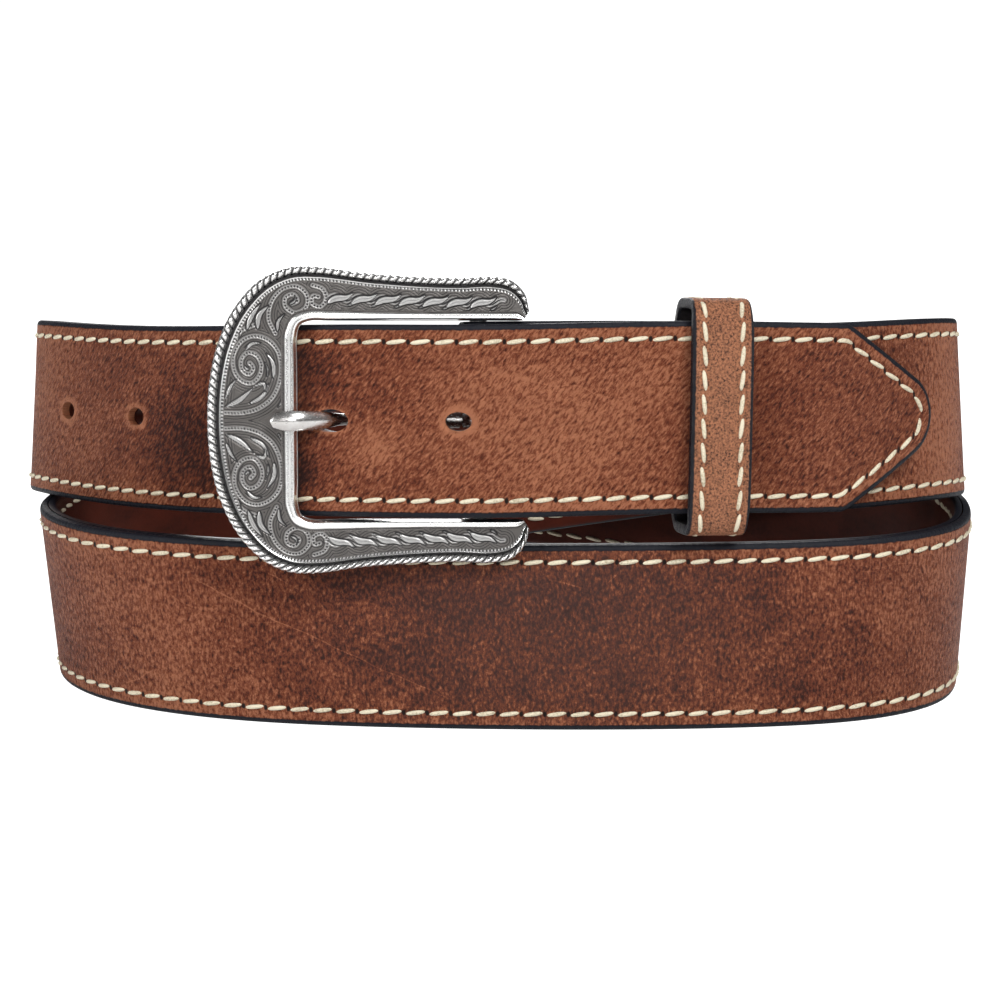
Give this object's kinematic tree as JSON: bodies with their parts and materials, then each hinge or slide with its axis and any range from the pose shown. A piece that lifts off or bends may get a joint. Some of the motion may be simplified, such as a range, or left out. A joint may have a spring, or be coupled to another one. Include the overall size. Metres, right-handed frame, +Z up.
{
  "type": "western belt",
  "caption": "Buckled western leather belt coiled in turns and standing on its edge, with a carved-look horseshoe buckle, a stitched keeper and a pointed tip.",
  "frame": {"origin": "under the middle of the coil's bounding box, on the surface it stands on", "axes": "+Z up, the buckle and the tip face -Y, the tip points to +X"},
  "size_m": [0.2092, 0.1221, 0.0938],
  "materials": {
    "strap_leather": "waxed pull-up brown, with painted dark edges",
    "lining_leather": "smooth reddish brown",
    "keeper_leather": "pitted tan brown",
    "buckle_metal": "antique silver with blackened recesses"
  },
  "bodies": {
    "root": {"strap_outer": "strap_leather", "strap_lining": "lining_leather", "keeper": "keeper_leather", "buckle_frame": "buckle_metal", "buckle_prong": "buckle_metal"}
  },
  "joints": []
}
